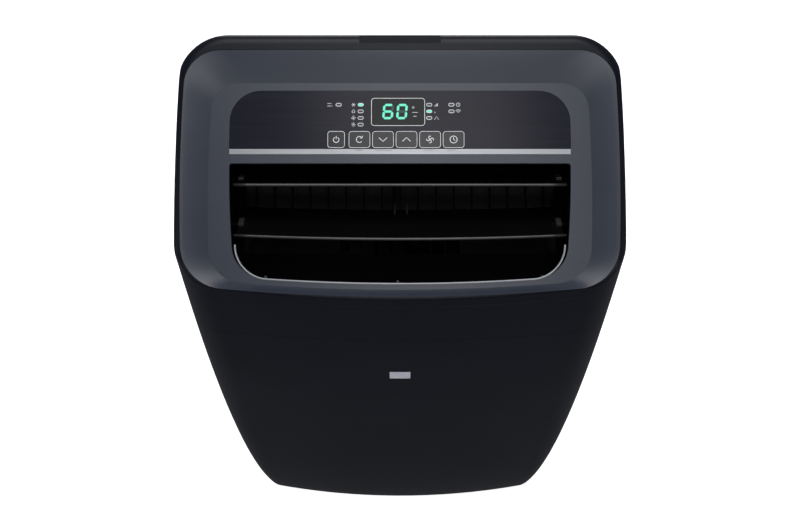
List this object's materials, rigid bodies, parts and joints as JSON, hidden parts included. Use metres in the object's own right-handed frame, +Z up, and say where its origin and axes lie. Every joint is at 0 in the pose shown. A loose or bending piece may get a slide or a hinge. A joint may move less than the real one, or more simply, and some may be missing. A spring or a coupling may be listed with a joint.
{
  "type": "portable air conditioner",
  "caption": "Free-standing portable air conditioner on casters, with a tilted control deck, swing vanes in a wide top outlet, rear intakes and a round exhaust collar.",
  "frame": {"origin": "centre of the footprint on the floor", "axes": "+Z up, -Y towards the front with the air outlet, +X to the viewer's right"},
  "size_m": [0.4944, 0.421, 0.768],
  "materials": {
    "navy_shell": "satin, fine moulded texture",
    "slate_bezel": "satin slate grey",
    "black_glass": "gloss panel with a fine printed grain",
    "key_gloss": "gloss key caps",
    "silver_trim": "bright satin strip",
    "window_lens": "frosted receiver window",
    "display_smoke": "smoked display lens",
    "light_lens": "small lenses",
    "duct_black": "matte black",
    "housing_grey": "matte grey",
    "filter_net": "fine net in a frame",
    "fin_aluminium": "fine fins",
    "sheet_steel": "galvanised",
    "black_steel": "black painted shell",
    "rubber": "matte",
    "copper_pipe": "dull copper",
    "board_green": "circuit board",
    "screw_steel": "screw heads",
    "caster_nylon": "nylon fork",
    "caster_tread": "hard wheel"
  },
  "bodies": {
    "casing": {"top_frame": "navy_shell", "upper_front_band": "navy_shell", "front_panel": "navy_shell", "side_panel_left": "navy_shell", "side_panel_right": "navy_shell", "rear_casing": "navy_shell", "handle_cup_left": "navy_shell", "handle_cup_right": "navy_shell", "deck_bezel": "slate_bezel", "control_glass": "black_glass", "trim_strip": "silver_trim", "receiver_window": "window_lens", "display_lens": "display_smoke", "status_lights": "light_lens", "outlet_duct": "duct_black", "exhaust_collar": "duct_black", "drain_spout": "duct_black", "base_pan": "duct_black", "blower_scroll": "housing_grey", "condenser_scroll": "housing_grey", "drip_tray": "housing_grey", "evaporator": "fin_aluminium", "condenser": "fin_aluminium", "partition_plate": "sheet_steel", "control_box": "sheet_steel", "swing_stepper": "sheet_steel", "blower_motor": "sheet_steel", "condenser_motor": "sheet_steel", "compressor": "black_steel", "compressor_mounts": "rubber", "cord_gland": "rubber", "refrigerant_pipes": "copper_pipe", "control_board": "board_green", "case_screws": "screw_steel"},
    "power_key": {"power_button": "key_gloss"},
    "mode_key": {"mode_button": "key_gloss"},
    "down_key": {"down_button": "key_gloss"},
    "up_key": {"up_button": "key_gloss"},
    "fan_key": {"fan_button": "key_gloss"},
    "timer_key": {"timer_button": "key_gloss"},
    "upper_vane_body": {"upper_vane": "duct_black", "upper_crank": "duct_black"},
    "lower_vane_body": {"lower_vane": "duct_black", "lower_crank": "duct_black"},
    "vane_link_body": {"vane_link": "duct_black"},
    "upper_cassette": {"upper_intake_grille": "navy_shell", "upper_filter": "filter_net"},
    "lower_cassette": {"lower_intake_grille": "navy_shell", "lower_filter": "filter_net"},
    "blower_rotor": {"blower_wheel": "housing_grey"},
    "condenser_rotor": {"condenser_wheel": "housing_grey"},
    "drain_cap_body": {"drain_cap": "duct_black"},
    "caster_front_left": {"caster_fork_front_left": "caster_nylon"},
    "wheel_front_left": {"caster_wheel_front_left": "caster_tread"},
    "caster_front_right": {"caster_fork_front_right": "caster_nylon"},
    "wheel_front_right": {"caster_wheel_front_right": "caster_tread"},
    "caster_rear_left": {"caster_fork_rear_left": "caster_nylon"},
    "wheel_rear_left": {"caster_wheel_rear_left": "caster_tread"},
    "caster_rear_right": {"caster_fork_rear_right": "caster_nylon"},
    "wheel_rear_right": {"caster_wheel_rear_right": "caster_tread"}
  },
  "joints": [
    {"name": "power_press", "type": "slide", "parent": "casing", "child": "power_key", "axis": [0, 0.4695, -0.8829], "range_m": [0, 0.0008], "stiffness_N_per_m": 400, "springref_m": -0.0008},
    {"name": "mode_press", "type": "slide", "parent": "casing", "child": "mode_key", "axis": [0, 0.4695, -0.8829], "range_m": [0, 0.0008], "stiffness_N_per_m": 400, "springref_m": -0.0008},
    {"name": "down_press", "type": "slide", "parent": "casing", "child": "down_key", "axis": [0, 0.4695, -0.8829], "range_m": [0, 0.0008], "stiffness_N_per_m": 400, "springref_m": -0.0008},
    {"name": "up_press", "type": "slide", "parent": "casing", "child": "up_key", "axis": [0, 0.4695, -0.8829], "range_m": [0, 0.0008], "stiffness_N_per_m": 400, "springref_m": -0.0008},
    {"name": "fan_press", "type": "slide", "parent": "casing", "child": "fan_key", "axis": [0, 0.4695, -0.8829], "range_m": [0, 0.0008], "stiffness_N_per_m": 400, "springref_m": -0.0008},
    {"name": "timer_press", "type": "slide", "parent": "casing", "child": "timer_key", "axis": [0, 0.4695, -0.8829], "range_m": [0, 0.0008], "stiffness_N_per_m": 400, "springref_m": -0.0008},
    {"name": "lower_vane_swing", "type": "hinge", "parent": "casing", "child": "lower_vane_body", "pos_m": [0, -0.11119, 0.63621], "axis": [1, 0, 0], "range_deg": [-30, 35]},
    {"name": "upper_vane_swing", "type": "hinge", "parent": "casing", "child": "upper_vane_body", "pos_m": [0, -0.06835, 0.66341], "axis": [1, 0, 0], "range_deg": [-30, 35]},
    {"name": "vane_link_pivot", "type": "hinge", "parent": "upper_vane_body", "child": "vane_link_body", "pos_m": [0, -0.07492, 0.67577], "axis": [1, 0, 0], "range_deg": [-35, 30]},
    {"name": "upper_cassette_pull", "type": "slide", "parent": "casing", "child": "upper_cassette", "axis": [0, 0.8829, 0.4695], "range_m": [0, 0.04]},
    {"name": "lower_cassette_pull", "type": "slide", "parent": "casing", "child": "lower_cassette", "axis": [0, 1, 0], "range_m": [0, 0.04]},
    {"name": "blower_spin", "type": "hinge", "parent": "casing", "child": "blower_rotor", "pos_m": [0, -0.075, 0.455], "axis": [0, 1, 0], "continuous": true},
    {"name": "condenser_spin", "type": "hinge", "parent": "casing", "child": "condenser_rotor", "pos_m": [0, 0.1, 0.158], "axis": [0, 1, 0], "continuous": true},
    {"name": "drain_cap_pull", "type": "slide", "parent": "casing", "child": "drain_cap_body", "axis": [0, 1, 0], "range_m": [0, 0.02]},
    {"name": "caster_front_left_swivel", "type": "hinge", "parent": "casing", "child": "caster_front_left", "pos_m": [-0.152, -0.128, 0.05], "axis": [0, 0, 1], "continuous": true},
    {"name": "wheel_front_left_roll", "type": "hinge", "parent": "caster_front_left", "child": "wheel_front_left", "pos_m": [-0.152, -0.116, 0.019], "axis": [1, 0, 0], "continuous": true},
    {"name": "caster_front_right_swivel", "type": "hinge", "parent": "casing", "child": "caster_front_right", "pos_m": [0.152, -0.128, 0.05], "axis": [0, 0, 1], "continuous": true},
    {"name": "wheel_front_right_roll", "type": "hinge", "parent": "caster_front_right", "child": "wheel_front_right", "pos_m": [0.152, -0.116, 0.019], "axis": [1, 0, 0], "continuous": true},
    {"name": "caster_rear_left_swivel", "type": "hinge", "parent": "casing", "child": "caster_rear_left", "pos_m": [-0.135, 0.146, 0.05], "axis": [0, 0, 1], "continuous": true},
    {"name": "wheel_rear_left_roll", "type": "hinge", "parent": "caster_rear_left", "child": "wheel_rear_left", "pos_m": [-0.135, 0.158, 0.019], "axis": [1, 0, 0], "continuous": true},
    {"name": "caster_rear_right_swivel", "type": "hinge", "parent": "casing", "child": "caster_rear_right", "pos_m": [0.135, 0.146, 0.05], "axis": [0, 0, 1], "continuous": true},
    {"name": "wheel_rear_right_roll", "type": "hinge", "parent": "caster_rear_right", "child": "wheel_rear_right", "pos_m": [0.135, 0.158, 0.019], "axis": [1, 0, 0], "continuous": true}
  ],
  "couplings": [
    {"joint": "upper_vane_swing", "follows": "lower_vane_swing", "ratio": 1},
    {"joint": "vane_link_pivot", "follows": "lower_vane_swing", "ratio": -1}
  ]
}
